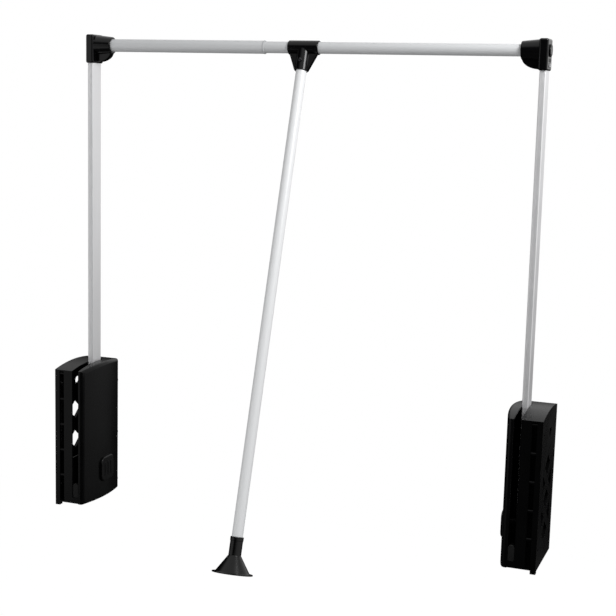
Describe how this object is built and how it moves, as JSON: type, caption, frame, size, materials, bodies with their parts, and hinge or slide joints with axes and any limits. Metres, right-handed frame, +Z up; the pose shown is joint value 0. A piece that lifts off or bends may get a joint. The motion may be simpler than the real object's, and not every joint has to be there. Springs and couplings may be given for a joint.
{
  "type": "pull down closet rod",
  "caption": "Wardrobe lift: a telescopic hanging rail on two spring-housed swing arms, pulled down by a hanging rod with a bell-shaped foot.",
  "frame": {"origin": "on the left wall plate's wall face, in the middle of its four screw holes", "axes": "+X from the left wall to the right wall along the rail, +Y to the wardrobe's back, +Z up, arms upright"},
  "size_m": [0.888, 0.3569, 0.8624],
  "materials": {
    "housing_black": "moulded black plastic, fine satin grain",
    "cap_black": "moulded black plastic, satin",
    "connector_black": "moulded black plastic, polished",
    "foot_black": "moulded black plastic, half gloss",
    "arm_alloy": "anodised extrusion, satin silver",
    "rail_grey": "light grey powder coat, satin",
    "rod_white": "pale grey powder coat, satin",
    "bush_grey": "grey plastic bush",
    "lever_alloy": "die cast, as cast",
    "fastener_steel": "zinc plated",
    "screw_black": "blackened steel",
    "buffer_rubber": "moulded rubber",
    "slide_acetal": "natural acetal",
    "spring_steel": "oiled spring wire",
    "damper_alloy": "turned",
    "damper_chrome": "hard chromed rod",
    "bush_bronze": "sintered bronze"
  },
  "bodies": {
    "left_housing": {"left_wall_plate": "housing_black", "left_outer_shell": "housing_black", "left_inner_cover": "housing_black", "left_cover_screws": "fastener_steel", "left_pivot_axle": "fastener_steel", "left_axle_clip": "fastener_steel", "left_pivot_cap": "cap_black", "left_rest_buffer": "buffer_rubber", "left_front_stop": "buffer_rubber", "left_spring_seat": "slide_acetal", "left_lift_spring": "spring_steel", "left_damper_body": "damper_alloy"},
    "left_plunger": {"left_spring_plunger": "slide_acetal", "left_damper_rod": "damper_chrome"},
    "left_frame": {"left_arm_lever": "lever_alloy", "left_lever_bushes": "bush_bronze", "left_arm": "arm_alloy", "left_arm_rivets": "fastener_steel", "left_corner": "connector_black", "left_corner_cap": "connector_black", "left_rail_bolt": "fastener_steel", "left_tube_plug": "slide_acetal", "left_arm_screw": "fastener_steel", "rail_outer_tube": "rail_grey", "rail_end_bush": "bush_grey"},
    "right_frame": {"right_arm_lever": "lever_alloy", "right_lever_bushes": "bush_bronze", "right_arm": "arm_alloy", "right_arm_rivets": "fastener_steel", "right_corner": "connector_black", "right_corner_cap": "connector_black", "right_rail_bolt": "fastener_steel", "right_tube_plug": "slide_acetal", "right_arm_screw": "fastener_steel", "rail_inner_tube": "rail_grey", "inner_tube_guide": "slide_acetal"},
    "right_housing": {"right_wall_plate": "housing_black", "right_outer_shell": "housing_black", "right_inner_cover": "housing_black", "right_cover_screws": "fastener_steel", "right_pivot_axle": "fastener_steel", "right_axle_clip": "fastener_steel", "right_pivot_cap": "cap_black", "right_rest_buffer": "buffer_rubber", "right_front_stop": "buffer_rubber", "right_spring_seat": "slide_acetal", "right_lift_spring": "spring_steel", "right_damper_body": "damper_alloy"},
    "right_plunger": {"right_spring_plunger": "slide_acetal", "right_damper_rod": "damper_chrome"},
    "handle": {"handle_tee": "connector_black", "tee_screw": "screw_black", "pull_rod": "rod_white", "bell_foot": "foot_black"}
  },
  "joints": [
    {"name": "swing", "type": "hinge", "parent": "left_housing", "child": "left_frame", "pos_m": [0.041, 0.007, -0.0729], "axis": [1, 0, 0], "range_deg": [0, 90], "stiffness_Nm_per_rad": 19.1, "springref_deg": -29.79},
    {"name": "width_adjust", "type": "slide", "parent": "left_frame", "child": "right_frame", "axis": [1, 0, 0], "range_m": [-0.038, 0.23]},
    {"name": "right_swing", "type": "hinge", "parent": "right_frame", "child": "right_housing", "pos_m": [0.847, 0.007, -0.0729], "axis": [1, 0, 0], "range_deg": [-90, 0]},
    {"name": "left_plunger_slide", "type": "slide", "parent": "left_housing", "child": "left_plunger", "axis": [0, 0, 1], "range_m": [0, 0.0409], "deforming": ["left_lift_spring"]},
    {"name": "right_plunger_slide", "type": "slide", "parent": "right_housing", "child": "right_plunger", "axis": [0, 0, 1], "range_m": [0, 0.0409], "deforming": ["right_lift_spring"]},
    {"name": "handle_swing", "type": "hinge", "parent": "right_frame", "child": "handle", "pos_m": [0.4413, 0.007, 0.7021], "axis": [1, 0, 0], "continuous": true}
  ],
  "couplings": [
    {"joint": "right_swing", "follows": "swing", "ratio": -1},
    {"joint": "left_plunger_slide", "follows": "swing", "m_per_rad": 0.026},
    {"joint": "right_plunger_slide", "follows": "swing", "m_per_rad": 0.026}
  ]
}
